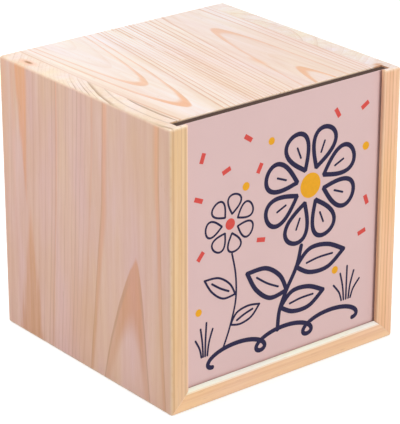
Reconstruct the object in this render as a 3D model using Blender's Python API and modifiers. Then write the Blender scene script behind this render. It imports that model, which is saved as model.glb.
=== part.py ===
# Pine box with a printed panel that slides up out of its front.
# Two walls and the bottom fold round the box, mitred at the bottom corners. The top is let in between the
# walls and stops short of their grooves, so that the panel can be drawn up past it. The back is set in flush.
# Metres, +Z up, the front towards -Y, the origin under the middle of the box on the surface it stands on.

import math

import bmesh
import bpy
from mathutils import Matrix

# Outside of the box
box_width = 0.120
box_depth = 0.115
box_height = 0.1215
outer_round = 0.0011  # radius that the outer corners and edges are sanded to
round_segments = 4

# The boards, all cut from one thickness of pine
board_thickness = 0.009
glue_line = 0.0003  # open joint between two glued faces
top_edge_round = 0.0004  # radius along the front edge of the top
bottom_edge_round = 0.0024  # radius along the inner front edge of the bottom, sanded off most
wall_edge_round = 0.0008  # radius along the inner front edge of each wall
edge_facets = 24  # flat sides that a full circle of such an edge would have

# The groove that the panel runs in, through both walls and the bottom
front_lip = 0.0018  # wood left standing in front of the groove
groove_depth = 0.004

# The sliding panel
panel_thickness = 0.0032
panel_face_play = 0.0009  # play in front of the panel and behind it, a loose fit
panel_side_play = 0.0005  # play between the panel's side edges and the groove floors
panel_seat_gap = 0.0003  # gap under the panel where it rests in the bottom groove
panel_top_drop = 0.0003  # how far the panel stays below the top of the walls
panel_easing = 0.0002

# Length that every cut runs on past the wood
cut_overrun = 0.002

# Places that the sizes above settle
groove_width = panel_thickness + 2 * panel_face_play
front_face = -box_depth / 2
groove_front = front_face + front_lip
groove_back = groove_front + groove_width
inside_half_width = box_width / 2 - board_thickness
mitre_shift = glue_line / math.sqrt(2)  # half the glue line, measured along X or Z


def clear_scene():
    for scene_object in list(bpy.data.objects):
        bpy.data.objects.remove(scene_object, do_unlink=True)


def new_collection(name):
    collection = bpy.data.collections.new(name)
    bpy.context.scene.collection.children.link(collection)
    return collection


def new_material(name, colour, roughness):
    material = bpy.data.materials.new(name)
    material.use_nodes = True
    shader = material.node_tree.nodes["Principled BSDF"]
    shader.inputs["Base Color"].default_value = (*colour, 1.0)
    shader.inputs["Roughness"].default_value = roughness
    shader.inputs["Metallic"].default_value = 0.0
    return material


def new_object(name, form, centre, collection):
    mesh = bpy.data.meshes.new(name)
    form.to_mesh(mesh)
    form.free()
    made = bpy.data.objects.new(name, mesh)
    made.location = centre
    collection.objects.link(made)
    return made


# A rectangular block with its origin at its centre
def new_block(name, size, centre, collection):
    form = bmesh.new()
    bmesh.ops.create_cube(form, size=1.0, matrix=Matrix.Diagonal((*size, 1.0)))
    return new_object(name, form, centre, collection)


# A round bar along the named axis with its origin at its centre
def new_bar(name, along, radius, length, centre, collection):
    form = bmesh.new()
    bmesh.ops.create_cone(
        form, cap_ends=True, segments=edge_facets, radius1=radius, radius2=radius, depth=length
    )
    bar = new_object(name, form, centre, collection)
    if along == "X":
        bar.rotation_euler.y = math.radians(90)
    return bar


def as_cutter(cutter):
    cutter.hide_render = True
    cutter.display_type = "WIRE"
    return cutter


def new_cutter(name, size, centre):
    return as_cutter(new_block(name, size, centre, cutters))


def combine(target, tool, operation):
    boolean = target.modifiers.new(tool.name, "BOOLEAN")
    boolean.operation = operation
    boolean.solver = "EXACT"
    boolean.object = tool


def round_edges(target, width, segments):
    bevel = target.modifiers.new("rounded edges", "BEVEL")
    bevel.width = width
    bevel.segments = segments
    bevel.limit_method = "ANGLE"


# What sanding takes off an edge: a square bar laid along the edge, less the round bar that stays in the
# wood. "inward" points from the edge to the round bar's axis, one step along each of the two faces. The
# corners of the round bar reach just past those faces, so that its flats cross them cleanly.
def edge_cutter(name, along, length, edge, inward, radius):
    size = [2 * radius, 2 * radius, 2 * radius]
    size["XYZ".index(along)] = length
    waste = new_cutter(name, size, edge)
    reach = radius * math.cos(math.pi / edge_facets)
    axis = [place + reach * step for place, step in zip(edge, inward)]
    kept = as_cutter(new_bar(name + "_round", along, radius, 2 * length, axis, cutters))
    combine(waste, kept, "DIFFERENCE")
    return waste


def finish_board(board, material):
    combine(board, sanded_outside, "INTERSECT")
    board.data.materials.append(material)
    board.parent = box_origin


# The outside of the whole box once its joints are glued and sanded. Each board is cut to it.
def make_sanded_outside():
    size = (box_width, box_depth, box_height)
    outside = new_cutter("sanded_outside", size, (0, 0, box_height / 2))
    round_edges(outside, outer_round, round_segments)
    return outside


# Wall: the foot is cut at 45 degrees to meet the bottom, and the groove runs out at the top
def make_wall(name, side, material):
    outer = box_width / 2 + cut_overrun
    inner = inside_half_width
    middle_x = side * (outer + inner) / 2
    top = box_height + cut_overrun
    size = (outer - inner, box_depth + 2 * cut_overrun, top)
    wall = new_block(name, size, (middle_x, 0, top / 2), parts)
    for vertex in wall.data.vertices:
        if vertex.co.z < 0:
            across = abs(vertex.co.x + middle_x)
            vertex.co.z = box_width / 2 - across + mitre_shift - top / 2

    groove_length = box_height + cut_overrun
    groove = new_cutter(
        name + "_groove",
        (2 * groove_depth, groove_width, groove_length),
        (side * inner, (groove_front + groove_back) / 2, groove_length / 2),
    )
    combine(wall, groove, "DIFFERENCE")
    edge = (side * inner, front_face, box_height)
    rounding = edge_cutter(name + "_edge", "Z", 2 * box_height, edge, (side, 1, 0), wall_edge_round)
    combine(wall, rounding, "DIFFERENCE")
    finish_board(wall, material)
    return wall


# Bottom: both ends are cut at 45 degrees to meet the walls
def make_bottom(material):
    height = board_thickness + cut_overrun
    middle_z = board_thickness - height / 2
    size = (box_width, box_depth + 2 * cut_overrun, height)
    bottom = new_block("bottom_board", size, (0, 0, middle_z), parts)
    for vertex in bottom.data.vertices:
        level = vertex.co.z + middle_z
        half_length = box_width / 2 - level - mitre_shift
        vertex.co.x = math.copysign(half_length, vertex.co.x)

    groove = new_cutter(
        "bottom_board_groove",
        (2 * box_width, groove_width, 2 * groove_depth),
        (0, (groove_front + groove_back) / 2, board_thickness),
    )
    combine(bottom, groove, "DIFFERENCE")
    edge = (0, front_face, board_thickness)
    rounding = edge_cutter("bottom_board_edge", "X", 2 * box_width, edge, (0, 1, -1), bottom_edge_round)
    combine(bottom, rounding, "DIFFERENCE")
    finish_board(bottom, material)
    return bottom


# Top: let in between the walls, from the back of the groove to the rear of the box
def make_top(material):
    rear = box_depth / 2 + cut_overrun
    height = board_thickness + cut_overrun
    size = (2 * (inside_half_width - glue_line), rear - groove_back, height)
    centre = (0, (rear + groove_back) / 2, box_height - board_thickness + height / 2)
    top = new_block("top_board", size, centre, parts)
    edge = (0, groove_back, box_height)
    rounding = edge_cutter("top_board_edge", "X", 2 * box_width, edge, (0, 1, -1), top_edge_round)
    combine(top, rounding, "DIFFERENCE")
    finish_board(top, material)
    return top


# Back: set in between the walls, the bottom and the top, flush with their rear edges
def make_back(material):
    rear = box_depth / 2 + cut_overrun
    front = box_depth / 2 - board_thickness
    low = board_thickness + glue_line
    high = box_height - board_thickness - glue_line
    size = (2 * (inside_half_width - glue_line), rear - front, high - low)
    back = new_block("back_board", size, (0, (rear + front) / 2, (low + high) / 2), parts)
    finish_board(back, material)
    return back


# Panel: runs in the grooves of the walls and rests in the groove of the bottom
def make_panel(material):
    half_width = inside_half_width + groove_depth - panel_side_play
    low = board_thickness - groove_depth + panel_seat_gap
    high = box_height - panel_top_drop
    size = (2 * half_width, panel_thickness, high - low)
    centre = (0, (groove_front + groove_back) / 2, (low + high) / 2)
    panel = new_block("sliding_panel", size, centre, parts)
    round_edges(panel, panel_easing, 1)
    panel.data.materials.append(material)
    panel.parent = box_origin
    return panel


clear_scene()
parts = new_collection("wooden_box")
cutters = new_collection("cutters")

box_origin = bpy.data.objects.new("box_origin", None)
parts.objects.link(box_origin)

sanded_outside = make_sanded_outside()
make_wall("left_wall", -1, new_material("pine_left_wall", (0.70, 0.42, 0.27), 0.55))
make_wall("right_wall", 1, new_material("pine_right_wall", (0.75, 0.47, 0.30), 0.55))
make_bottom(new_material("pine_bottom", (0.76, 0.48, 0.32), 0.55))
make_top(new_material("pine_top", (0.85, 0.62, 0.50), 0.55))
make_back(new_material("pine_back", (0.74, 0.47, 0.32), 0.55))
make_panel(new_material("printed_hardboard", (0.68, 0.45, 0.44), 0.4))
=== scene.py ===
import math

import bmesh
import bpy
from mathutils import Matrix, Vector


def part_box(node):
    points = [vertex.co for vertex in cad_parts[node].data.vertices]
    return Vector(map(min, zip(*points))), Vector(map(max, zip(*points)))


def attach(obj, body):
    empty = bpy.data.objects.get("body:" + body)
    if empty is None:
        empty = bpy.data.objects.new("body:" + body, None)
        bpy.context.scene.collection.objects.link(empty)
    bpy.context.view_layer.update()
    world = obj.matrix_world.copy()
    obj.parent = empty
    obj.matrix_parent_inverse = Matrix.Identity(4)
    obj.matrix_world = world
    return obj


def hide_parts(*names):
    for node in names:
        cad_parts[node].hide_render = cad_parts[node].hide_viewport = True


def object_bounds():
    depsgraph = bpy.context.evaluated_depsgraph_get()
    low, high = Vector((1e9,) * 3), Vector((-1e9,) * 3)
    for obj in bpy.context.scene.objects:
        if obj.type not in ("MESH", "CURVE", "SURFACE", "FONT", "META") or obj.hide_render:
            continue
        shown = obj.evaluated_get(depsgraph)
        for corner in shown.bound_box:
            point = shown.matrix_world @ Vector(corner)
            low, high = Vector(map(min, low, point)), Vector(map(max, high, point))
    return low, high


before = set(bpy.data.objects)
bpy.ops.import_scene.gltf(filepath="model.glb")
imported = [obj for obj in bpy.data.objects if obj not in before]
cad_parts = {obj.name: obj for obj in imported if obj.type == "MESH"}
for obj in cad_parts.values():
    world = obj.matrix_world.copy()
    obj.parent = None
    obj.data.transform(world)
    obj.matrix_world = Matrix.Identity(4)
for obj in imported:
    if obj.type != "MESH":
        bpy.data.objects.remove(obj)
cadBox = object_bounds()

mm = 0.001

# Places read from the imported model
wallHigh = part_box("left_wall")[1]
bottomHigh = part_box("bottom_board")[1]
topLow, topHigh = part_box("top_board")
backLow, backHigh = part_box("back_board")
panelLow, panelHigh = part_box("sliding_panel")

# The same for the grain, in millimetres. The depth of the grooves is the part's own.
grooveBack = topLow.y / mm
grooveFront = (panelLow.y + panelHigh.y - topLow.y) / mm
grooveDepth = 4.0
insideHalf = -wallHigh.x / mm
boxTop = cadBox[1].z / mm


# Small helpers for node trees

def put(tree, kind, **settings):
    node = tree.nodes.new(kind)
    for name, value in settings.items():
        setattr(node, name, value)
    return node


def feed(tree, socket, value):
    if isinstance(value, bpy.types.NodeSocket):
        tree.links.new(value, socket)
    elif value is not None:
        socket.default_value = value


def feedAll(tree, node, values):
    for name, value in values.items():
        feed(tree, node.inputs[name], value)


def calc(tree, operation, *values):
    node = put(tree, "ShaderNodeMath", operation=operation)
    for socket, value in zip(node.inputs, values):
        feed(tree, socket, value)
    return node.outputs[0]


def calcVector(tree, operation, first, second=None, output="Vector"):
    node = put(tree, "ShaderNodeVectorMath", operation=operation)
    feed(tree, node.inputs[0], first)
    feed(tree, node.inputs[1], second)
    return node.outputs[output]


def minus(tree, first, second):
    return calc(tree, "SUBTRACT", first, second)


def total(tree, *values):
    result = values[0]
    for value in values[1:]:
        result = calc(tree, "ADD", result, value)
    return result


def product(tree, *values):
    result = values[0]
    for value in values[1:]:
        result = calc(tree, "MULTIPLY", result, value)
    return result


def swing(tree, value, amount):
    return product(tree, minus(tree, value, 0.5), amount)


def ramp(tree, value, low, high, outLow=0.0, outHigh=1.0, smooth=True):
    node = put(tree, "ShaderNodeMapRange", interpolation_type="SMOOTHSTEP" if smooth else "LINEAR")
    limits = {"From Min": low, "From Max": high, "To Min": outLow, "To Max": outHigh}
    feedAll(tree, node, {"Value": value, **limits})
    return node.outputs["Result"]


def mixColour(tree, amount, first, second, blend="MIX"):
    node = put(tree, "ShaderNodeMix", data_type="RGBA", blend_type=blend)
    feed(tree, node.inputs[0], amount)
    for socket, value in ((node.inputs[6], first), (node.inputs[7], second)):
        feed(tree, socket, (*value, 1) if isinstance(value, tuple) else value)
    return node.outputs[2]


def choose(tree, amount, first, second):
    return total(tree, first, product(tree, amount, minus(tree, second, first)))


def vector(tree, x, y, z):
    node = put(tree, "ShaderNodeCombineXYZ")
    for socket, value in zip(node.inputs, (x, y, z)):
        feed(tree, socket, value)
    return node.outputs[0]


def split(tree, value):
    node = put(tree, "ShaderNodeSeparateXYZ")
    feed(tree, node.inputs[0], value)
    return node.outputs


def noise(tree, spot, scale, detail=2.0, roughness=0.5):
    node = put(tree, "ShaderNodeTexNoise")
    feedAll(tree, node, {"Vector": spot, "Scale": scale, "Detail": detail, "Roughness": roughness})
    return node.outputs["Fac"]


def grainNoise(tree, across, depth, along, stretch, scale, detail=2.0, roughness=0.5):
    # a stretch below 1 draws the noise out along the board
    spot = vector(tree, across, depth, product(tree, along, stretch))
    return noise(tree, spot, scale, detail, roughness)


def addBump(tree, shader, height, strength, distance):
    bump = put(tree, "ShaderNodeBump")
    feedAll(tree, bump, {"Strength": strength, "Distance": distance, "Height": height})
    feed(tree, shader.inputs["Normal"], bump.outputs[0])


def newMaterial(name):
    material = bpy.data.materials.new(name)
    material.use_nodes = True
    tree = material.node_tree
    return material, tree, tree.nodes["Principled BSDF"]


def newGroup(name, inputs, outputs):
    group = bpy.data.node_groups.new(name, "ShaderNodeTree")
    for label, value in inputs:
        kind = "NodeSocketVector" if value is None else "NodeSocketFloat"
        socket = group.interface.new_socket(label, in_out="INPUT", socket_type=kind)
        if value is not None:
            socket.default_value = value
    for label in outputs:
        group.interface.new_socket(label, in_out="OUTPUT", socket_type="NodeSocketFloat")
    return group, put(group, "NodeGroupInput").outputs, put(group, "NodeGroupOutput").inputs


def useGroup(tree, group, values):
    node = put(tree, "ShaderNodeGroup", node_tree=group)
    feedAll(tree, node, values)
    return node.outputs


# Growth rings of a trunk whose pith runs beside the board. All lengths in millimetres.
# The rings are round about the pith. The taper lets them widen along the board, which draws the
# flames on its face, and its own end shows them as arcs. Waves are (stretch, scale, detail).
ringShape = {
    "leanAcross": (2.0, 24.0), "leanAlong": (62.0, 95.0),
    "slowWave": (0.22, 0.045, 1.0), "slowSize": 5.0, "quickWave": (0.1, 0.18, 2.0), "quickSize": 0.9,
    "lateStart": (0.35, 0.7), "lateEnd": 0.95, "coreFade": 3.0, "uneven": (1.2, 0.5),
    "seedStep": 311.0, "chanceStep": 17.0, "chanceStart": 0.37,
}


def makeGrowthRings():
    t, given, out = newGroup("growth rings", [
        ("Across", 0.0), ("Depth", 0.0), ("Along", 0.0), ("Pith Across", 0.0), ("Pith Depth", -30.0),
        ("Drift", 0.0), ("Taper", 3.0), ("Taper Curve", 0.0), ("Core Radius", 30.0), ("Core Spacing", 3.0),
        ("Outer Radius", 40.0), ("Outer Spacing", 2.0), ("Waviness", 0.5), ("Core Strength", 1.0),
        ("Outer Strength", 0.4), ("Seed", 0.0), ("Lean", 0.0),
    ], ["Latewood", "Tone", "Radius", "Offset"])
    along = given["Along"]
    across = minus(t, given["Across"], given["Pith Across"])
    across = minus(t, across, product(t, given["Drift"], along))
    # the rings lean only near the pith and in the lower part of the board
    nearPith = ramp(t, calc(t, "ABSOLUTE", across), *ringShape["leanAcross"], 1.0, 0.0)
    lowDown = ramp(t, along, *ringShape["leanAlong"], 1.0, 0.0)
    across = minus(t, across, product(t, given["Lean"], along, product(t, nearPith, lowDown)))
    depth = minus(t, given["Depth"], given["Pith Depth"])
    square = total(
        t, product(t, across, across), product(t, depth, depth), product(t, given["Taper"], along),
        product(t, given["Taper Curve"], along, along),
    )
    seeded = total(t, along, product(t, given["Seed"], ringShape["seedStep"]))
    slow = grainNoise(t, given["Across"], given["Depth"], seeded, *ringShape["slowWave"])
    quick = grainNoise(t, given["Across"], given["Depth"], seeded, *ringShape["quickWave"])
    shake = total(t, swing(t, slow, ringShape["slowSize"]), swing(t, quick, ringShape["quickSize"]))
    radius = calc(t, "SQRT", calc(t, "MAXIMUM", square, 1.0))
    radius = total(t, radius, product(t, shake, given["Waviness"]))

    count = calc(t, "DIVIDE", minus(t, radius, given["Core Radius"]), given["Core Spacing"])
    beyond = calc(t, "MAXIMUM", minus(t, radius, given["Outer Radius"]), 0.0)
    outerRate = calc(t, "DIVIDE", 1.0, given["Outer Spacing"])
    coreRate = calc(t, "DIVIDE", 1.0, given["Core Spacing"])
    count = total(t, count, product(t, beyond, minus(t, outerRate, coreRate)))
    part = calc(t, "FRACT", count)
    dice = put(t, "ShaderNodeTexWhiteNoise", noise_dimensions="1D")
    seedShift = product(t, given["Seed"], ringShape["chanceStep"])
    feed(t, dice.inputs["W"], total(t, calc(t, "FLOOR", count), seedShift, ringShape["chanceStart"]))
    chance = dice.outputs["Value"]

    # latewood darkens slowly towards the outside of its ring and ends sharply
    start = ramp(t, chance, 0.0, 1.0, *ringShape["lateStart"], smooth=False)
    rise = ramp(t, part, start, ringShape["lateEnd"])
    band = product(t, rise, rise, ramp(t, part, ringShape["lateEnd"], 1.0, 1.0, 0.0))
    coreEnd = total(t, given["Outer Radius"], ringShape["coreFade"])
    inCore = ramp(t, radius, given["Outer Radius"], coreEnd, 1.0, 0.0)
    strength = choose(t, inCore, given["Outer Strength"], given["Core Strength"])
    uneven = ramp(t, chance, 0.0, 1.0, *ringShape["uneven"], smooth=False)
    feed(t, out["Latewood"], product(t, band, strength, uneven))
    feed(t, out["Tone"], minus(t, chance, 0.5))
    feed(t, out["Radius"], radius)
    feed(t, out["Offset"], calc(t, "ABSOLUTE", across))
    return t


# One marked ring: a warm fill that fades inwards, and a thin line on its outside. The tip of its flame is
# where the offset from the pith is small. Away from it the fill gets the strength of the legs, and the line
# gets stronger. Shares are of the ring's width.
markedShape = {"fullShare": 0.45, "lineShare": 0.2, "lineFullShare": 0.08, "lineTip": (1.0, 8.0, 0.15, 1.0)}


def makeMarkedRing():
    t, given, out = newGroup("marked ring", [
        ("Radius", 0.0), ("Offset", 0.0), ("Outer", 30.0), ("Width", 1.0), ("Edge", 0.15),
        ("Strength", 1.0), ("Near", 5.0), ("Far", 15.0), ("Far Strength", 1.0),
    ], ["Fill", "Line"])

    def within(share):
        return minus(t, given["Outer"], product(t, given["Width"], share))

    rise = ramp(t, given["Radius"], within(1.0), within(markedShape["fullShare"]))
    fall = ramp(t, given["Radius"], given["Outer"], total(t, given["Outer"], given["Edge"]), 1.0, 0.0)
    legs = ramp(t, given["Offset"], given["Near"], given["Far"], 1.0, given["Far Strength"])
    feed(t, out["Fill"], product(t, rise, fall, given["Strength"], legs))
    line = ramp(t, given["Radius"], within(markedShape["lineShare"]), within(markedShape["lineFullShare"]))
    offTip = ramp(t, given["Offset"], *markedShape["lineTip"])
    feed(t, out["Line"], product(t, line, fall, given["Strength"], offTip))
    return t


# A resin streak that opens from a point into a wedge along the board. Noises are (stretch, scale).
wedgeShape = {
    "edgeNoise": (0.08, 0.5), "edgeWidth": (0.3, 0.7, 0.8, 1.15), "tip": (-0.02, 0.08),
    "lineNoise": (0.03, 0.9), "lineStrength": (0.2, 0.8, 0.75, 1.05), "lineDepth": 3.0,
}


def makeWedgeStreak():
    t, given, out = newGroup("wedge streak", [
        ("Across", 0.0), ("Along", 0.0), ("Tip Across", 0.0), ("Tip Along", 0.0), ("Base Across", 0.0),
        ("Base Along", 10.0), ("Half Width", 3.0), ("Softness", 1.0), ("Strength", 1.0),
    ], ["Mask"])
    run = minus(t, given["Base Along"], given["Tip Along"])
    share = calc(t, "DIVIDE", minus(t, given["Along"], given["Tip Along"]), run)
    middle = choose(t, share, given["Tip Across"], given["Base Across"])
    ragged = grainNoise(t, given["Across"], 0.0, given["Along"], *wedgeShape["edgeNoise"])
    half = product(t, given["Half Width"], share, ramp(t, ragged, *wedgeShape["edgeWidth"]))
    inside = minus(t, half, calc(t, "ABSOLUTE", minus(t, given["Across"], middle)))
    mask = ramp(t, inside, product(t, given["Softness"], -0.5), given["Softness"])
    atDepth = wedgeShape["lineDepth"]
    lines = grainNoise(t, given["Across"], atDepth, given["Along"], *wedgeShape["lineNoise"])
    mask = product(t, mask, ramp(t, share, *wedgeShape["tip"]), ramp(t, lines, *wedgeShape["lineStrength"]))
    feed(t, out["Mask"], product(t, mask, given["Strength"]))
    return t


# Fine fibres that run along the board, the speckle of its cut ends, slow changes of tone, and pores.
# Each noise is (stretch, scale, detail, roughness).
fibreNoises = {
    "Fibre": (0.035, 3.2, 3.0, 0.6), "Streak": (0.05, 0.42, 2.0, 0.5), "Speckle": (1.0, 2.6, 2.0, 0.7),
    "Cloud": (0.4, 0.035, 1.0, 0.5), "Tint": (0.2, 0.09, 2.0, 0.5), "Pores": (0.07, 2.1, 1.0, 0.5),
}
fibreSeedStep = 97.0
poreLimits = (0.70, 0.78)


def makeFibres():
    t, given, out = newGroup("wood fibres", [
        ("Across", 0.0), ("Depth", 0.0), ("Along", 0.0), ("Seed", 0.0),
    ], list(fibreNoises))
    along = total(t, given["Along"], product(t, given["Seed"], fibreSeedStep))
    for label, settings in fibreNoises.items():
        value = grainNoise(t, given["Across"], given["Depth"], along, *settings)
        feed(t, out[label], ramp(t, value, *poreLimits) if label == "Pores" else value)
    return t


# How near a place is to the sanded outer edges of the box. It marks the paler edges, partly worn wood and
# partly a painted highlight on the rounded arrises.
wearAndHighlightRagged = (0.2, 0.6, 0.5, 1.0)
wearAndHighlightScale = 0.35


def makeArrisWear():
    t, given, out = newGroup("arris wear and highlight", [
        ("Place", None), ("Centre", None), ("Half Size", None), ("Reach", 2.0),
    ], ["Wear"])
    fromCentre = calcVector(t, "ABSOLUTE", calcVector(t, "SUBTRACT", given["Place"], given["Centre"]))
    inward = calcVector(t, "SUBTRACT", given["Half Size"], fromCentre)
    near = [ramp(t, side, 0.0, given["Reach"], 1.0, 0.0) for side in split(t, inward)]
    wear = product(t, near[0], near[1])
    for first, second in ((1, 2), (0, 2)):
        wear = calc(t, "MAXIMUM", wear, product(t, near[first], near[second]))
    ragged = noise(t, given["Place"], wearAndHighlightScale)
    feed(t, out["Wear"], product(t, wear, ramp(t, ragged, *wearAndHighlightRagged)))
    return t


# A fine and a broad noise over the surface of a small piece, and the tone that the two give it
def makeMottle():
    t, given, out = newGroup("mottle", [
        ("Place", None), ("Fine Scale", 900.0), ("Fine Detail", 2.0), ("Fine Roughness", 0.5),
        ("Fine Tone", 0.1), ("Broad Scale", 60.0), ("Broad Detail", 2.0), ("Broad Tone", 0.1),
    ], ["Fine", "Shade"])
    fine = noise(t, given["Place"], given["Fine Scale"], given["Fine Detail"], given["Fine Roughness"])
    broad = noise(t, given["Place"], given["Broad Scale"], given["Broad Detail"])
    shade = total(t, 1.0, swing(t, fine, given["Fine Tone"]), swing(t, broad, given["Broad Tone"]))
    feed(t, out["Fine"], fine)
    feed(t, out["Shade"], shade)
    return t


growthRings = makeGrowthRings()
markedRing = makeMarkedRing()
wedgeStreak = makeWedgeStreak()
fibres = makeFibres()
arrisWear = makeArrisWear()
mottle = makeMottle()
print("node groups made")


# Pine boards. Each is cut from its own log: where the pith lies, how the rings are spaced, and its colours.
# Colours are linear. Lengths are millimetres in the frame's own axes, "axes" naming the board's
# width, thickness and length. Marked rings are (outer radius, width, edge, strength, strength of the legs),
# and "legs" says how far beside the pith their legs begin. "core" and "outer" are (radius, spacing,
# strength), "endRings" (spacing, strength). "clear" fades rings by their radius, "endFade" on the end,
# and "paler" makes the wood paler along the board. Streaks are (tip, base, half width, softness, strength),
# warm patches (place, size, strength), pockets (place, size). "groove" says how strongly the sawn groove is
# darkened, a painted shade of that recess. "second" is a stave beside the first. The colours of the lip
# and of the ledge are painted highlights.
logs = {
    "left_wall": {
        "axes": "YXZ", "pith": (-28.9, -27.3), "drift": -0.026, "lean": -0.072,
        "taper": 4.84, "taperCurve": -0.01815,
        "core": (36.0, 4.6, 0.1), "outer": (46.0, 1.85, 0.5), "waviness": 0.3, "seed": 1.0,
        "endRings": (4.3, 0.9), "endPith": (-34.5, 35.0), "endOuter": (96.5, 1.5),
        "endFade": (17.5, -2.5, 0.2, 1.0), "legs": (5.0, 12.0), "clear": (60.0, 72.0, 0.3),
        "marked": [
            (35.95, 1.7, 0.1, 1.0, 0.4), (41.4, 1.6, 0.2, 0.6, 1.0), (45.2, 0.8, 0.3, 0.25, 1.0),
            (61.9, 0.9, 0.2, 0.45, 1.0),
        ],
        "edgeRings": {
            "spacing": 1.9, "phase": 0.6, "strength": 0.62,
            "marked": [(241.7, 1.3, 0.4, 0.8, 1.0), (247.6, 1.1, 0.3, 0.7, 1.0)],
        },
        "streaks": [
            ((40.2, 58.0), (42.4, boxTop), 4.6, 1.3, 1.0),
            ((37.6, 62.0), (38.6, 0.0), 9.0, 2.4, 0.9),
            ((54.5, -60.0), (55.0, boxTop), 3.5, 4.0, 0.35),
            ((48.5, 20.0), (48.5, boxTop), 2.2, 2.2, 0.3),
        ],
        "pockets": [((-55.7, 42.2, boxTop), (1.3, 3.6, 4.0))],
        "early": (0.92, 0.62, 0.515), "late": (0.70, 0.42, 0.30), "warm": (0.80, 0.44, 0.275),
        "warmHigh": (1.0, 0.53, 0.33), "edge": (0.86, 0.58, 0.34), "end": (1.0, 0.83, 0.70),
        "endLate": (0.56, 0.38, 0.26), "lipHighlight": (0.98, 0.70, 0.52), "edgeMark": (0.72, 0.455, 0.265),
    },
    "right_wall": {
        "axes": "YXZ", "pith": (10.0, 20.0), "drift": 0.03, "taper": 3.2,
        "core": (38.0, 3.4, 0.45), "outer": (52.0, 1.5, 0.35), "waviness": 0.5, "seed": 2.0,
        "endRings": (2.6, 0.16), "legs": (7.0, 15.0),
        "marked": [(42.0, 1.4, 0.2, 0.9, 0.7), (47.5, 1.6, 0.3, 0.6, 1.0)],
        "edgeRings": {"spacing": 1.8, "phase": 1.35, "strength": 1.1},
        "streaks": [((-22.0, 84.0), (-24.0, 0.0), 4.0, 1.6, 0.5)],
        # a warm brown patch on the top end of the wall at the back of the groove
        "warmPatches": [((54.2, -49.6, boxTop), (3.3, 2.6, 3.0), 0.85)], "groove": 0.85,
        "early": (0.92, 0.65, 0.50), "late": (0.77, 0.43, 0.245), "warm": (0.78, 0.43, 0.25),
        "edge": (0.96, 0.59, 0.355), "end": (1.0, 0.885, 0.80), "endLate": (0.80, 0.60, 0.46),
        "lipHighlight": (1.0, 0.66, 0.42),
    },
    "bottom_board": {
        "axes": "YZX", "pith": (4.0, 30.0), "drift": 0.02, "taper": 2.6,
        "core": (24.0, 3.2, 0.5), "outer": (40.0, 1.7, 0.35), "waviness": 0.7, "seed": 3.0,
        "endRings": (2.4, 0.6), "legs": (7.0, 15.0),
        "marked": [(31.0, 1.2, 0.2, 0.8, 0.8)],
        "edgeRings": {
            "spacing": 3.1, "phase": 0.4, "strength": 0.35, "marked": [(305.3, 1.2, 0.3, 0.35, 1.0)],
        },
        "early": (0.90, 0.65, 0.48), "late": (0.80, 0.48, 0.30), "warm": (0.82, 0.47, 0.29),
        "edge": (0.97, 0.64, 0.385), "end": (0.88, 0.66, 0.48), "endLate": (0.62, 0.40, 0.26),
        # a pale cream that paints a highlight on the rounded edge in front of the panel
        "ledgeHighlight": (1.0, 0.99, 0.85),
    },
    "top_board": {
        "axes": "XZY", "pith": (-34.9, 96.5), "drift": 0.08, "taper": -2.75,
        "core": (25.46, 1.5, 0.2), "outer": (28.0, 1.3, 1.5), "waviness": 0.25, "seed": 4.0,
        "endRings": (1.5, 0.8), "legs": (3.0, 9.0),
        "marked": [(25.33, 0.40, 0.1, 0.75, 0.6), (26.96, 0.44, 0.1, 1.0, 0.5)],
        "edgeRings": {"spacing": 2.0, "phase": 0.0, "strength": 0.4},
        "second": {
            "from": -3.0, "pith": (29.6, 96.5), "drift": 0.09, "taper": 1.95,
            "core": (26.09, 1.6, 0.2), "outer": (27.5, 1.45, 1.5), "seed": 4.5,
            "marked": [(26.06, 0.36, 0.1, 0.6, 0.7), (23.63, 0.36, 0.1, 0.85, 0.8)],
            "early": (0.985, 0.80, 0.71),
        },
        "warmPatches": [((19.0, -15.5, boxTop), (2.2, 9.0, 9.0), 0.5)],
        "early": (0.99, 0.84, 0.745), "late": (0.83, 0.53, 0.375), "warm": (0.95, 0.555, 0.35),
        "tint": 0.25, "paler": (0.0, 46.0, (1.0, 0.89, 0.84)),
        "edge": (0.94, 0.72, 0.58), "end": (1.0, 0.78, 0.60), "endLate": (0.80, 0.55, 0.40),
    },
    "back_board": {
        "axes": "XYZ", "pith": (8.0, 20.0), "drift": -0.03, "taper": 3.6, "taperCurve": -0.008,
        "core": (36.0, 3.6, 0.35), "outer": (44.0, 2.0, 0.42), "waviness": 0.6, "seed": 5.0,
        "endRings": (2.0, 0.6), "legs": (7.0, 15.0),
        "marked": [(40.0, 1.6, 0.15, 1.0, 0.6), (43.6, 1.4, 0.2, 0.7, 1.0)],
        "edgeRings": {"spacing": 2.4, "phase": 0.6, "strength": 0.3},
        "early": (0.90, 0.65, 0.50), "late": (0.70, 0.40, 0.24), "warm": (0.76, 0.42, 0.25),
        "edge": (0.92, 0.62, 0.42), "end": (0.92, 0.72, 0.55), "endLate": (0.62, 0.42, 0.28),
    },
}

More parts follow.
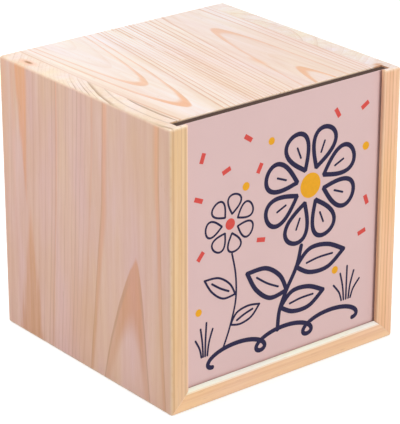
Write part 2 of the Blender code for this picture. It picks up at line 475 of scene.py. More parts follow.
# What all the boards share. "cutFacing" says how squarely a surface faces along or across the board when it
# begins to be, and when it is, a cut end or a long edge. "blur" is how softly the colours at the groove
# begin, and a pair of reaches says where a patch is full and where it ends.
pine = {
    "roughness": 0.64, "endRoughness": 0.12, "lateRoughness": -0.10, "streakRoughness": 0.15, "gloss": 0.05,
    "bump": 0.35, "bumpHeight": 0.06 * mm, "lateRelief": 0.5, "fibreRelief": 0.6, "poreRelief": -0.8,
    "fibreTone": 0.10, "streakTone": 0.12, "speckleTone": 0.14, "ringTone": 0.035, "tint": 0.45,
    "cloud": (0.4, 0.8, 0.0, 0.2), "resinAtEnd": 0.25, "resinRise": (20.0, boxTop), "lineDepth": 0.6,
    # the pale colour of the outer edges is worn wood with a painted highlight on the arrises
    "wornAndLit": (1.0, 0.78, 0.57), "wornAndLitReach": 1.5, "wornAndLitStrength": 0.6,
    "poreColour": (0.62, 0.34, 0.20), "poreStrength": 0.35, "pocketColour": (0.55, 0.30, 0.17),
    "pocketReach": (0.25, 1.05), "haloReach": (0.6, 2.4), "halo": 0.45, "patchReach": (0.1, 1.0),
    "grooveShadeColour": (0.78, 0.42, 0.25), "blur": 0.1, "grooveFade": 0.3, "lipHighlightReach": (0.4, 1.2),
    "cutFacing": (0.45, 0.8), "ledgeHighlightFacing": (0.1, 0.7),
    "streakDepth": (insideHalf + 2.5, insideHalf + 7.5),
    "edgePith": 300.0, "edgeWaviness": 0.12, "edgeSeed": 0.3,
}


def ringInputs(log):
    inputs = {
        "Drift": log["drift"], "Taper": log["taper"], "Taper Curve": log.get("taperCurve", 0.0),
        "Waviness": log["waviness"], "Seed": log["seed"], "Lean": log.get("lean", 0.0),
    }
    inputs["Pith Across"], inputs["Pith Depth"] = log["pith"]
    for part in ("Core", "Outer"):
        inputs[part + " Radius"], inputs[part + " Spacing"], inputs[part + " Strength"] = log[part.lower()]
    return inputs


def endInputs(t, log, onEnd):
    # the cut ends have a spacing and a strength of their own, and some a pith of their own too
    spacing, strength = log["endRings"]
    end = {"Core Spacing": spacing, "Core Strength": strength, "Outer Strength": strength}
    if "endPith" in log:
        end.update({"Drift": 0.0, "Taper": 0.0, "Taper Curve": 0.0, "Lean": 0.0})
        end["Pith Across"], end["Pith Depth"] = log["endPith"]
        end["Outer Radius"], end["Outer Spacing"] = log["endOuter"]
    face = ringInputs(log)
    return {label: choose(t, onEnd, face[label], value) for label, value in end.items()}


def edgeInputs(log, at):
    # rings so wide that they cross the board's edge as straight lines
    edge = log["edgeRings"]
    return {
        "Depth": at["depth"], "Along": at["along"], "Pith Depth": -pine["edgePith"], "Taper": 0.0,
        "Core Radius": edge["phase"], "Core Spacing": edge["spacing"],
        "Outer Radius": 2 * pine["edgePith"], "Waviness": pine["edgeWaviness"],
        "Core Strength": edge["strength"], "Seed": log["seed"] + pine["edgeSeed"],
    }


def markedMasks(t, rings, marked, legs):
    # the fills and the lines of all the marked rings together
    masks = [0.0, 0.0]
    for outer, width, edge, strength, farStrength in marked:
        one = useGroup(t, markedRing, {
            "Radius": rings["Radius"], "Offset": rings["Offset"], "Outer": outer, "Width": width,
            "Edge": edge, "Strength": strength, "Near": legs[0], "Far": legs[1],
            "Far Strength": farStrength,
        })
        masks = [calc(t, "MAXIMUM", old, one[label]) for old, label in zip(masks, ("Fill", "Line"))]
    return masks


def ringMarks(t, inputs, marked, legs):
    # the radius of one set of rings, and its latewood, tone, warm fills and dark lines
    rings = useGroup(t, growthRings, inputs)
    return rings["Radius"], [rings["Latewood"], rings["Tone"], *markedMasks(t, rings, marked, legs)]


def chooseEach(t, amount, firsts, seconds):
    return [choose(t, amount, first, second) for first, second in zip(firsts, seconds)]


def streakMask(t, streak, at):
    tip, base, halfWidth, softness, strength = streak
    mask = useGroup(t, wedgeStreak, {
        "Across": at["across"], "Along": at["along"], "Tip Across": tip[0], "Tip Along": tip[1],
        "Base Across": base[0], "Base Along": base[1], "Half Width": halfWidth, "Softness": softness,
        "Strength": strength,
    })["Mask"]
    inWood = ramp(t, calc(t, "ABSOLUTE", at["depth"]), *pine["streakDepth"])
    return product(t, mask, inWood, minus(t, 1.0, at["onEdge"]))


def spotMask(t, spot, middle, size, reach, strength):
    # an oval patch, full at its middle and gone at its rim
    shrunk = calcVector(t, "DIVIDE", calcVector(t, "SUBTRACT", spot, middle), size)
    return ramp(t, calcVector(t, "LENGTH", shrunk, output="Value"), *reach, strength, 0.0)


def grooveShadeMask(t, at):
    # full inside the groove, from its mouth down to its floor
    aside = calc(t, "ABSOLUTE", at["depth"])
    blur, fade, floor = pine["blur"], pine["grooveFade"], insideHalf + grooveDepth
    return product(
        t, ramp(t, aside, insideHalf, insideHalf + fade),
        ramp(t, aside, floor + blur, floor + fade, 1.0, 0.0),
        ramp(t, at["across"], grooveFront - blur, grooveFront + blur),
        ramp(t, at["across"], grooveBack - blur, grooveBack + blur, 1.0, 0.0),
    )


def boardPlaces(t, log):
    # the place along the board's own axes, and how squarely its surface is a long edge or a cut end
    spot = calcVector(t, "MULTIPLY", put(t, "ShaderNodeTexCoord").outputs["Object"], (1 / mm,) * 3)
    facing = split(t, put(t, "ShaderNodeTexCoord").outputs["Normal"])
    order = ["XYZ".index(letter) for letter in log["axes"]]
    parts = split(t, spot)
    across, depth, along = [parts[i] for i in order]
    onEdge, onEnd = [ramp(t, calc(t, "ABSOLUTE", facing[i]), *pine["cutFacing"])
                     for i in (order[0], order[2])]
    return {
        "spot": spot, "across": across, "depth": depth, "along": along, "onEdge": onEdge, "onEnd": onEnd,
        "inputs": {"Across": across, "Depth": depth, "Along": along}, "upwards": facing[2],
        "beforeGroove": ramp(t, across, grooveFront, grooveFront + pine["blur"], 1.0, 0.0),
        "stave": calc(t, "GREATER_THAN", across, log["second"]["from"]) if "second" in log else 0.0,
    }


def boardRings(t, log, at):
    # latewood, tone, warm fills and dark lines on all sides of the board
    onEnd, legs, straight = at["onEnd"], log["legs"], log["edgeRings"]
    inputs = {**at["inputs"], **ringInputs(log), **endInputs(t, log, onEnd)}
    radius, marks = ringMarks(t, inputs, log["marked"], legs)
    if "second" in log:
        other = {**log, **log["second"]}
        beside = ringMarks(t, {**at["inputs"], **ringInputs(other)}, other["marked"], legs)[1]
        marks = chooseEach(t, at["stave"], marks, beside)
    onLongEdge = ringMarks(t, edgeInputs(log, at), straight.get("marked", []), legs)[1]
    late, tone, warm, line = chooseEach(t, at["onEdge"], marks, onLongEdge)
    for streak in log.get("streaks", []):
        warm = calc(t, "MAXIMUM", warm, streakMask(t, streak, at))
    warm = product(t, warm, ramp(t, onEnd, 0.0, 1.0, 1.0, pine["resinAtEnd"], smooth=False))
    if "clear" in log:
        low, high, least = log["clear"]
        late = product(t, late, choose(t, onEnd, ramp(t, radius, low, high, 1.0, least), 1.0))
    if "endFade" in log:
        late = product(t, late, choose(t, onEnd, 1.0, ramp(t, at["across"], *log["endFade"])))
    return late, tone, warm, line


def earlyColour(t, log, at):
    # the wood between the rings
    early = log["early"]
    if "second" in log:
        early = mixColour(t, at["stave"], early, log["second"]["early"])
    if "paler" in log:
        start, full, pale = log["paler"]
        early = mixColour(t, ramp(t, at["along"], start, full), early, pale)
    early = mixColour(t, at["onEdge"], early, log["edge"])
    early = mixColour(t, at["onEnd"], early, log["end"])
    # painted highlight: the inner face of the lip in front of the groove is made paler, as if lit
    if "lipHighlight" in log:
        low, high = [insideHalf + reach for reach in pine["lipHighlightReach"]]
        lipHighlightMask = ramp(t, calc(t, "ABSOLUTE", at["depth"]), low, high, 1.0, 0.0)
        early = mixColour(t, product(t, lipHighlightMask, at["beforeGroove"]), early, log["lipHighlight"])
    return early


def ringedColour(t, log, at, cloud, late, warm, line):
    colour = mixColour(t, ramp(t, cloud, *pine["cloud"]), earlyColour(t, log, at), log["warm"])
    dark = mixColour(t, at["onEnd"], log["late"], log["endLate"])
    colour = mixColour(t, calc(t, "MINIMUM", late, 1.0), colour, dark)
    upTheBoard = ramp(t, at["along"], *pine["resinRise"], smooth=False)
    resin = mixColour(t, upTheBoard, log["warm"], log.get("warmHigh", log["warm"]))
    if "edgeMark" in log:
        resin = mixColour(t, at["onEdge"], resin, log["edgeMark"])
    colour = mixColour(t, warm, colour, resin)
    colour = mixColour(t, product(t, line, pine["lineDepth"]), colour, dark)
    if "ledgeHighlight" in log:
        # painted highlight: where the rounded edge in front of the groove faces up, it is made a pale cream
        # nearly clear of rings, as if lit from above
        paintedLedgeHighlight = product(t, ramp(t, at["upwards"], *pine["ledgeHighlightFacing"]), at["beforeGroove"])
        colour = mixColour(t, paintedLedgeHighlight, colour, log["ledgeHighlight"])
    for middle, size, strength in log.get("warmPatches", []):
        warmPatch = spotMask(t, at["spot"], middle, size, pine["patchReach"], strength)
        colour = mixColour(t, warmPatch, colour, log["warm"])
    return colour


def edgePocketAndGrooveColour(t, log, at, colour):
    # wear and a painted highlight along the outer edges, resin pockets, and painted shade in the sawn
    # groove
    wornAndLit = useGroup(t, arrisWear, {
        "Place": at["spot"], "Centre": tuple(v / mm for v in (cadBox[0] + cadBox[1]) / 2),
        "Half Size": tuple(v / mm for v in (cadBox[1] - cadBox[0]) / 2), "Reach": pine["wornAndLitReach"],
    })["Wear"]
    # painted highlight and wear: the outer edges are mixed towards a pale cream
    colour = mixColour(t, product(t, wornAndLit, pine["wornAndLitStrength"]), colour, pine["wornAndLit"])
    for middle, size in log.get("pockets", []):
        oval = (t, at["spot"], middle, size)
        halo = spotMask(*oval, pine["haloReach"], pine["halo"])
        colour = mixColour(t, halo, colour, log["warmHigh"])
        colour = mixColour(t, spotMask(*oval, pine["pocketReach"], 1.0), colour, pine["pocketColour"])
    # painted shade: the faces inside the groove are darkened towards brown
    if "groove" in log:
        paintedGrooveShade = product(t, grooveShadeMask(t, at), log["groove"])
        colour = mixColour(t, paintedGrooveShade, colour, pine["grooveShadeColour"])
    return colour


def makePine(name, log):
    material, t, shader = newMaterial("pine " + name)
    at = boardPlaces(t, log)
    late, tone, warm, line = boardRings(t, log, at)
    grain = useGroup(t, fibres, {**at["inputs"], "Seed": log["seed"]})
    colour = ringedColour(t, log, at, grain["Cloud"], late, warm, line)
    offEnd = minus(t, 1.0, at["onEnd"])
    pores = product(t, grain["Pores"], offEnd, pine["poreStrength"])
    colour = mixColour(t, pores, colour, pine["poreColour"])
    shade = total(
        t, 1.0, swing(t, grain["Fibre"], pine["fibreTone"]),
        swing(t, grain["Streak"], pine["streakTone"]), product(t, tone, pine["ringTone"]),
        product(t, at["onEnd"], swing(t, grain["Speckle"], pine["speckleTone"])),
    )
    deeper = product(t, shade, shade)
    tint = total(t, 1.0, swing(t, grain["Tint"], log.get("tint", pine["tint"])))
    tones = vector(t, shade, deeper, product(t, deeper, shade, tint))
    colour = mixColour(t, 1.0, colour, tones, "MULTIPLY")
    colour = edgePocketAndGrooveColour(t, log, at, colour)
    rough = total(
        t, pine["roughness"], product(t, at["onEnd"], pine["endRoughness"]),
        product(t, late, pine["lateRoughness"]), swing(t, grain["Streak"], pine["streakRoughness"]),
    )
    feedAll(t, shader, {"Base Color": colour, "Roughness": rough, "Specular IOR Level": pine["gloss"]})
    height = total(
        t, product(t, late, pine["lateRelief"]), product(t, grain["Fibre"], pine["fibreRelief"]),
        product(t, grain["Speckle"], at["onEnd"], pine["fibreRelief"]),
        product(t, pores, pine["poreRelief"]),
    )
    addBump(t, shader, height, pine["bump"], pine["bumpHeight"])
    return material


for boardName, log in logs.items():
    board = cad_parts[boardName]
    board.data.materials.clear()
    board.data.materials.append(makePine(boardName, log))
print("boards finished")


# Blocks, prisms and surfaces for the small pieces

def newObject(name, data):
    made = bpy.data.objects.new(name, data)
    bpy.context.scene.collection.objects.link(made)
    return made


def finishMesh(name, form):
    bmesh.ops.recalc_face_normals(form, faces=list(form.faces))
    mesh = bpy.data.meshes.new(name)
    form.to_mesh(mesh)
    form.free()
    return newObject(name, mesh)


def block(name, low, high, rounding=0.0, segments=2):
    form = bmesh.new()
    size = Vector(high) - Vector(low)
    middle = (Vector(high) + Vector(low)) / 2
    bmesh.ops.create_cube(form, size=1.0, matrix=Matrix.Translation(middle) @ Matrix.Diagonal((*size, 1.0)))
    if rounding:
        bmesh.ops.bevel(
            form, geom=list(form.edges), offset=rounding, segments=segments, profile=0.5, affect="EDGES"
        )
    return finishMesh(name, form)


def joinLoops(form, first, second):
    # a band of faces between two outlines with as many corners
    for i in range(len(first)):
        j = (i + 1) % len(first)
        form.faces.new((first[i], first[j], second[j], second[i]))


def prism(form, first, second):
    form.faces.new(first)
    form.faces.new(second[::-1])
    joinLoops(form, first, second)


# The values that a fine noise mostly keeps between
fineReach = (0.2, 0.8)


def makeSurface(name, colour, finish):
    # mottled by a fine and a broad noise, the fine one being its relief too
    material, t, shader = newMaterial(name)
    spot = put(t, "ShaderNodeTexCoord").outputs["Object"]
    grain = useGroup(t, mottle, {"Place": spot, **finish["mottle"]})
    shade = vector(t, grain["Shade"], grain["Shade"], grain["Shade"])
    colour = mixColour(t, 1.0, colour, shade, "MULTIPLY")
    rough = ramp(t, grain["Fine"], *fineReach, *finish["roughness"])
    feedAll(t, shader, {"Base Color": colour, "Roughness": rough, "Specular IOR Level": finish["gloss"]})
    addBump(t, shader, grain["Fine"], finish["bump"], finish["bumpHeight"])
    return material


# Glue lines: what shows of the glue between the boards, a little below the sanded wood
glue = {
    "sink": 0.03 * mm, "colour": (0.92, 0.61, 0.40), "topColour": (0.92, 0.74, 0.62),
    "arrisRadius": 1.1 * mm, "arrisSegments": 4, "edgeRadius": 2.4 * mm, "edgeSteps": 6,
    "finish": {
        "mottle": {"Fine Scale": 700.0, "Fine Tone": 0.2, "Broad Scale": 90.0, "Broad Tone": 0.3},
        "roughness": (0.45, 0.65), "gloss": 0.5, "bump": 0.3, "bumpHeight": 0.03 * mm,
    },
}


def trimToBox(piece, inset):
    # cuts a piece to the sanded outside of the box, a little further in
    low = cadBox[0] + Vector((inset,) * 3)
    high = cadBox[1] - Vector((inset,) * 3)
    outside = block("outside", low, high, glue["arrisRadius"], glue["arrisSegments"])
    cut = piece.modifiers.new("trim", "BOOLEAN")
    cut.operation = "INTERSECT"
    cut.solver = "EXACT"
    cut.object = outside
    bpy.context.view_layer.update()
    trimmed = bpy.data.meshes.new_from_object(piece.evaluated_get(bpy.context.evaluated_depsgraph_get()))
    piece.modifiers.clear()
    piece.data = trimmed
    bpy.data.objects.remove(outside, do_unlink=True)


def layGlue(name, piece, material):
    piece.name = name
    trimToBox(piece, glue["sink"])
    piece.data.materials.clear()
    piece.data.materials.append(material)
    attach(piece, "box")


def mitreSlab(side, outline):
    # a thin slab in the 45 degree joint, its outline given as places from front to rear and up the joint
    gap = (-wallHigh.x - topHigh.x) * math.sqrt(2)
    form = bmesh.new()
    faces = []
    for shift in (-gap / 2, gap / 2):
        places = [(side * (cadBox[1].x - up + shift), y, up + shift) for y, up in outline]
        faces.append([form.verts.new(place) for place in places])
    prism(form, *faces)
    return finishMesh("mitre", form)


def plainOutline(front, rear, head):
    return [(front, 0.0), (front, head), (rear, head), (rear, 0.0)]


def lipOutline(rear, sink):
    # follows the rounded edge of the bottom board in front of the groove
    radius = glue["edgeRadius"]
    outline = [(cadBox[0].y, 0.0)]
    for step in range(glue["edgeSteps"] + 1):
        angle = math.pi / 2 * step / glue["edgeSteps"]
        y = cadBox[0].y + radius - (radius - sink) * math.cos(angle)
        z = bottomHigh.z - radius + (radius - sink) * math.sin(angle)
        if y < rear:
            outline.append((y, z))
    return outline + [(rear, outline[-1][1]), (rear, 0.0)]


def makeGlueLines():
    sideGlue = makeSurface("glue line", glue["colour"], glue["finish"])
    topGlue = makeSurface("glue line on top", glue["topColour"], glue["finish"])
    sink = glue["sink"]
    front = grooveFront * mm
    grooveFoot = bottomHigh.z - grooveDepth * mm
    for side, label in ((-1, "left"), (1, "right")):
        xs = sorted((side * topHigh.x, side * -wallHigh.x))
        seam = block("seam", (xs[0], topLow.y + sink, topLow.z), (xs[1], topHigh.y, topHigh.z))
        layGlue("glue_top_" + label, seam, topGlue)
        seam = block("seam", (xs[0], backLow.y, backLow.z), (xs[1], backHigh.y, backHigh.z))
        layGlue("glue_back_" + label, seam, sideGlue)
        layGlue("glue_mitre_front_" + label, mitreSlab(side, lipOutline(front, sink)), sideGlue)
        under = mitreSlab(side, plainOutline(front, topLow.y, grooveFoot - sink))
        layGlue("glue_mitre_groove_" + label, under, sideGlue)
        rear = mitreSlab(side, plainOutline(topLow.y, cadBox[1].y, bottomHigh.z - sink))
        layGlue("glue_mitre_" + label, rear, sideGlue)
    for label, low, high in (("upper", backHigh.z, topLow.z), ("lower", bottomHigh.z, backLow.z)):
        seam = block("seam", (backLow.x, backLow.y, low), (backHigh.x, backHigh.y, high))
        layGlue("glue_back_" + label, seam, sideGlue)


makeGlueLines()
print("glue lines laid")


# The sliding panel: a dark hardboard core with a printed coat on its front
panel = {
    "coatThickness": 0.25 * mm, "coatColour": (0.736, 0.516, 0.501), "coatEdge": 0.12 * mm,
    "coat": {
        "mottle": {"Fine Scale": 2400.0, "Fine Tone": 0.03, "Broad Scale": 38.0, "Broad Tone": 0.05},
        "roughness": (0.38, 0.5), "gloss": 0.35, "bump": 0.15, "bumpHeight": 0.02 * mm,
    },
    "coreColour": (0.085, 0.048, 0.036), "coreEdge": 0.15 * mm,
    "core": {
        "mottle": {
            "Fine Scale": 1500.0, "Fine Detail": 3.0, "Fine Roughness": 0.7, "Fine Tone": 0.35,
            "Broad Scale": 120.0, "Broad Tone": 0.15,
        },
        "roughness": (0.7, 0.9), "gloss": 0.15, "bump": 0.4, "bumpHeight": 0.08 * mm,
    },
}


def fitToPanel(piece, material):
    piece.data.materials.append(material)
    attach(piece, "panel")
    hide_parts("sliding_panel")


def makePanel():
    coatBack = panelLow.y + panel["coatThickness"]
    core = block("panel_core", (panelLow.x, coatBack, panelLow.z), panelHigh, panel["coreEdge"])
    fitToPanel(core, makeSurface("hardboard", panel["coreColour"], panel["core"]))
    coat = block("panel_coat", panelLow, (panelHigh.x, coatBack, panelHigh.z), panel["coatEdge"])
    fitToPanel(coat, makeSurface("printed coat", panel["coatColour"], panel["coat"]))


makePanel()
print("panel finished")


# The print: two flowers with leaves, tufts of grass, a scroll and scattered dashes, all of raised ink.
# Places are millimetres across and up the front of the box. Stems are (points, line) and leaves (root, tip,
# belly, line), a line being bold or fine. Lifts keep strokes that cross from sharing a surface.
ink = {
    "navy": (0.020, 0.016, 0.055), "coral": (0.70, 0.085, 0.070), "mustard": (0.86, 0.40, 0.020),
    "thickness": 0.035 * mm, "root": 0.01 * mm, "bold": 2.0, "fine": 0.9,
    "finish": {
        "mottle": {"Fine Tone": 0.16, "Broad Detail": 1.0, "Broad Tone": 0.12},
        "roughness": (0.42, 0.55), "gloss": 0.12, "bump": 0.2, "bumpHeight": 0.02 * mm,
    },
    "capSteps": 4, "capTurn": 21, "discSides": 40, "petalSteps": 48, "loopSteps": 40,
    "strokeClimb": 0.02, "petalLift": 0.012, "veinLift": 0.03, "stemLift": 0.006, "leafLift": (0.03, 0.01),
    "leafSideLift": 0.004, "leafVeinLift": 0.012, "bladeLift": 0.004,
    "steps": {"stem": 10, "leaf": 9, "vein": 8, "blade": 7},
    "leafBends": (0.28, 0.66), "leafSides": ((1, 0.95, 0.80), (-1, 0.75, 0.85)),
    "leafVein": ((0.22, 0.0), (0.48, 0.08), (0.76, 0.0)),
    "bladeBends": ((0.35, 0.0), (0.55, 0.5), (1.0, 1.0)),
    "flowers": [
        {"centre": (14.0, 80.0), "petals": 8, "inner": 7.6, "outer": 25.0, "halfWidth": 7.9, "eye": 5.4,
         "line": "bold"},
        {"centre": (-28.0, 74.0), "petals": 7, "inner": 4.2, "outer": 12.5, "halfWidth": 4.6, "eye": 2.4,
         "line": "fine"},
    ],
    "petalPinch": 1.2, "petalVein": (0.38, 0.66),
    "stems": [
        ([(9.6, 54.6), (7.2, 46.0), (2.0, 37.0), (-1.6, 29.0), (-2.6, 20.5)], "bold"),
        ([(-27.0, 61.0), (-25.0, 51.0), (-25.0, 40.0), (-28.0, 29.0), (-31.5, 20.5)], "fine"),
    ],
    "leaves": [
        ((7.0, 45.8), (33.0, 47.0), 6.2, "bold"),
        ((2.0, 37.0), (-19.0, 50.0), 5.8, "bold"),
        ((-1.2, 30.0), (22.0, 31.5), 5.4, "bold"),
        ((-25.2, 43.0), (-41.0, 53.0), 3.8, "fine"),
        ((-27.6, 30.0), (-12.5, 35.0), 3.4, "fine"),
    ],
    "tufts": [
        {"root": (-41.0, 20.0), "blades": [(-4.6, 8.0), (-2.0, 12.5), (1.0, 14.5), (4.2, 11.0)]},
        {"root": (35.0, 23.5), "blades": [(-7.0, 8.0), (-3.4, 12.5), (0.4, 15.0), (4.2, 12.0), (7.4, 7.5)]},
    ],
    "scroll": {"start": (-37.0, 17.5), "length": 76.0, "waves": 3, "sway": 7.5, "rise": 3.6},
    "dashes": [
        (-42, 105, 70), (-30, 97, 20), (-19, 108, -35), (-13, 94, 62), (-44, 88, -24), (-12, 63, -12),
        (43, 108, 30), (45, 66, -70), (43, 52, 15), (-43, 64, 50), (28, 108, -60),
    ],
    "dashSize": (4.4, 2.0),
    "berries": [
        (-20.0, 88.0, 1.8), (44.0, 90.0, 1.8), (-7.0, 104.0, 1.6), (-44.0, 40.0, 1.6), (28.5, 38.5, 1.7),
    ],
}


def curvePoints(points, kind):
    # a smooth line through the points
    last = len(points) - 1
    steps = ink["steps"][kind]
    result = []
    for i in range(last):
        a, b, c, d = [Vector(points[min(max(i + k, 0), last)]) for k in (-1, 0, 1, 2)]
        for k in range(steps):
            s = k / steps
            square = (2 * a - 5 * b + 4 * c - d) * s * s
            cube = (3 * b - a - 3 * c + d) * s ** 3
            result.append(0.5 * (2 * b + (c - a) * s + square + cube))
    result.append(Vector(points[-1]))
    return result


def roundEnd(station, sign):
    # stations that narrow beyond an end of a stroke, sign being -1 before its start and 1 after its end
    point, heading, half = station
    ends = []
    for k in range(1, ink["capSteps"] + 1):
        angle = math.radians(k * ink["capTurn"])
        ends.append((point + heading * (sign * half * math.sin(angle)), heading, half * math.cos(angle)))
    return ends


def drawStroke(form, points, width, lift=0.0, closed=False):
    # a raised line, closed or with round ends
    count = len(points)
    stations = []
    for i, point in enumerate(points):
        before = points[i - 1] if closed or i else points[i]
        after = points[(i + 1) % count] if closed or i < count - 1 else points[i]
        stations.append((point, (after - before).normalized(), width / 2))
    if not closed:
        stations = roundEnd(stations[0], -1)[::-1] + stations + roundEnd(stations[-1], 1)
    rings = []
    foot = panelLow.y + ink["root"]
    for index, (point, heading, reach) in enumerate(stations):
        across = Vector((-heading.y, heading.x)) * reach
        climb = ink["strokeClimb"] * index / len(stations)
        top = panelLow.y - ink["thickness"] - (lift + climb) * mm
        ring = []
        for sign, y in ((1, top), (-1, top), (-1, foot), (1, foot)):
            corner = (point + across * sign) * mm
            ring.append(form.verts.new((corner.x, y, corner.y)))
        rings.append(ring)
    for first, second in zip(rings, rings[1:]):
        joinLoops(form, first, second)
    if closed:
        joinLoops(form, rings[-1], rings[0])
    else:
        form.faces.new(rings[0])
        form.faces.new(rings[-1][::-1])


def drawPatch(form, outline):
    # a raised patch with the outline given
    heights = (panelLow.y - ink["thickness"], panelLow.y + ink["root"])
    prism(form, *[[form.verts.new((p[0] * mm, y, p[1] * mm)) for p in outline] for y in heights])


def disc(centre, radius):
    x, y = centre
    sides = ink["discSides"]
    turn = 2 * math.pi / sides
    return [(x + radius * math.cos(i * turn), y + radius * math.sin(i * turn)) for i in range(sides)]


def drawFlower(form, flower):
    # each petal is a drop with its point towards the eye
    middle = Vector(flower["centre"])
    length = flower["outer"] - flower["inner"]
    for i in range(flower["petals"]):
        angle = 2 * math.pi * (i + 0.5) / flower["petals"]
        out = Vector((math.cos(angle), math.sin(angle)))
        side = Vector((-out.y, out.x))
        outline = []
        for k in range(1, ink["petalSteps"]):
            turn = 2 * math.pi * k / ink["petalSteps"]
            reach = flower["inner"] + length * (1 - math.cos(turn)) / 2
            width = flower["halfWidth"] * math.sin(turn) * math.sin(turn / 2) ** ink["petalPinch"]
            outline.append(middle + out * reach + side * width)
        drawStroke(form, outline, ink[flower["line"]], ink["petalLift"] * (i % 2), closed=True)
        if flower["line"] == "bold":
            vein = [middle + out * (flower["inner"] + length * share) for share in ink["petalVein"]]
            drawStroke(form, vein, ink["fine"], ink["veinLift"])


def drawLeaf(form, leaf, lift):
    root, tip = Vector(leaf[0]), Vector(leaf[1])
    belly, line = leaf[2:]
    run = tip - root
    side = Vector((-run.y, run.x)).normalized() * belly
    for sign, *widths in ink["leafSides"]:
        shares = zip(ink["leafBends"], widths)
        bends = [root + run * share + side * width * sign for share, width in shares]
        edge = curvePoints([root, *bends, tip], "leaf")
        drawStroke(form, edge, ink[line], lift + ink["leafSideLift"] * sign)
    vein = [root + run * share + side * width for share, width in ink["leafVein"]]
    drawStroke(form, curvePoints(vein, "vein"), ink["fine"], lift + ink["leafVeinLift"])


def drawTuft(form, tuft):
    root = Vector(tuft["root"])
    for index, (lean, height) in enumerate(tuft["blades"]):
        blade = [root + Vector((lean * aside, height * up)) for aside, up in ink["bladeBends"]]
        drawStroke(form, curvePoints(blade, "blade"), ink["fine"], ink["bladeLift"] * index)


def drawScroll(form, scroll):
    # a looped line: a wheel's rim rolling along
    points = []
    startX, startY = scroll["start"]
    steps = scroll["waves"] * ink["loopSteps"]
    for i in range(steps + 1):
        turn = 2 * math.pi * i / ink["loopSteps"]
        x = startX + scroll["length"] * i / steps - scroll["sway"] * math.sin(turn)
        points.append(Vector((x, startY - scroll["rise"] * math.cos(turn))))
    drawStroke(form, points, ink["bold"])


def dashOutline(x, y, degrees):
    length, width = ink["dashSize"]
    c, s = math.cos(math.radians(degrees)), math.sin(math.radians(degrees))
    outline = []
    for u, v in ((1, -1), (1, 1), (-1, 1), (-1, -1)):
        du, dv = u * length / 2, v * width / 2
        outline.append((x + du * c - dv * s, y + du * s + dv * c))
    return outline


def makePrint():
    navy, coral, mustard = bmesh.new(), bmesh.new(), bmesh.new()
    for flower in ink["flowers"]:
        drawFlower(navy, flower)
    for points, line in ink["stems"]:
        drawStroke(navy, curvePoints(points, "stem"), ink[line], ink["stemLift"])
    lowest, step = ink["leafLift"]
    for index, leaf in enumerate(ink["leaves"]):
        drawLeaf(navy, leaf, lowest + step * index)
    for tuft in ink["tufts"]:
        drawTuft(navy, tuft)
    drawScroll(navy, ink["scroll"])
    for flower, form in zip(ink["flowers"], (mustard, coral)):
        drawPatch(form, disc(flower["centre"], flower["eye"]))
    for x, y, radius in ink["berries"]:
        drawPatch(mustard, disc((x, y), radius))
    for dash in ink["dashes"]:
        drawPatch(coral, dashOutline(*dash))
    for name, form in (("navy", navy), ("coral", coral), ("mustard", mustard)):
        surface = makeSurface(name + " ink", ink[name], ink["finish"])
        fitToPanel(finishMesh("ink_" + name, form), surface)


makePrint()
print("print finished")


# Studio: a pale floor, five soft lamps and an even surround. The floor turns whiter away from the box.
# Lamps are (name, place, size, level), the level being about the brightness that the lamp alone gives a
# white face turned to it at the box.
studio = {
    "floorSize": 6.0, "floorColour": (0.66, 0.66, 0.66), "floorRoughness": 0.9, "floorGloss": 0.1,
    "floorLift": (0.60, 0.84), "liftReach": (0.35, 1.2), "surround": 0.26,
    "lamps": [
        ("overhead", (-0.05, 0.0, 1.1), 0.9, 0.33),
        ("front", (0.45, -1.6, 0.55), 0.8, 0.515),
        ("left", (-0.50, 0.15, 0.50), 0.35, 0.355),
        ("rear", (0.10, 0.95, 0.20), 0.35, 0.24),
        ("right", (0.95, 0.10, 0.20), 0.35, 0.20),
    ],
}


def seenRays(t):
    # 1 for what the camera sees, also in a gloss or through glass, and 0 for light on its way to a surface
    rays = put(t, "ShaderNodeLightPath").outputs
    seen = calc(t, "MAXIMUM", rays["Is Camera Ray"], rays["Is Glossy Ray"])
    return calc(t, "MAXIMUM", seen, rays["Is Transmission Ray"])


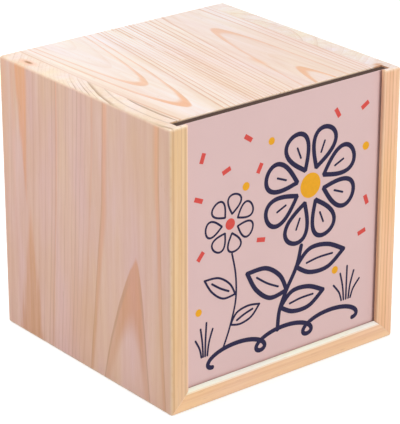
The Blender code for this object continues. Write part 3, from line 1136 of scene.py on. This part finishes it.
def makeFloor():
    bpy.ops.mesh.primitive_plane_add(size=studio["floorSize"], location=(0, 0, 0))
    floor = bpy.context.active_object
    floor.name = "floor"
    material, t, shader = newMaterial("floor")
    away = calcVector(t, "LENGTH", put(t, "ShaderNodeTexCoord").outputs["Object"], output="Value")
    lift = ramp(t, away, *studio["liftReach"], *studio["floorLift"])
    feedAll(t, shader, {
        "Base Color": (*studio["floorColour"], 1), "Roughness": studio["floorRoughness"],
        "Specular IOR Level": studio["floorGloss"], "Emission Color": (1, 1, 1, 1),
        "Emission Strength": product(t, seenRays(t), lift),
    })
    floor.data.materials.append(material)


def makeSurround():
    world = bpy.data.worlds.new("studio")
    bpy.context.scene.world = world
    world.use_nodes = True
    t = world.node_tree
    strength = ramp(t, seenRays(t), 0.0, 1.0, studio["surround"], 1.0, smooth=False)
    feedAll(t, t.nodes["Background"], {"Color": (1, 1, 1, 1), "Strength": strength})


def makeLamps():
    target = Vector((0, 0, (cadBox[0].z + cadBox[1].z) / 2))
    for name, place, size, level in studio["lamps"]:
        light = bpy.data.lights.new(name, "AREA")
        light.shape = "DISK"
        light.size = size
        away = Vector(place) - target
        light.energy = level * math.pi ** 2 * away.length_squared
        made = newObject(name, light)
        made.location = place
        made.rotation_euler = away.to_track_quat("Z", "Y").to_euler()


# The camera looks down on the front left corner through a long lens
camera = {
    "place": (-0.5382, -0.6706, 0.4095), "turn": 38.789, "down": 22.447, "focalPixels": 2200,
    "frameHeight": 424, "sensorWidth": 36, "clip": (0.01, 50),
}


def makeCamera():
    data = bpy.data.cameras.new("camera")
    data.sensor_width = camera["sensorWidth"]
    data.lens = camera["focalPixels"] / camera["frameHeight"] * data.sensor_width
    data.clip_start, data.clip_end = camera["clip"]
    made = newObject("camera", data)
    made.location = camera["place"]
    made.rotation_euler = (math.radians(90 - camera["down"]), 0, math.radians(-camera["turn"]))
    bpy.context.scene.camera = made


makeFloor()
makeSurround()
makeLamps()
makeCamera()
bpy.context.scene.view_settings.view_transform = "Standard"
print("studio finished")
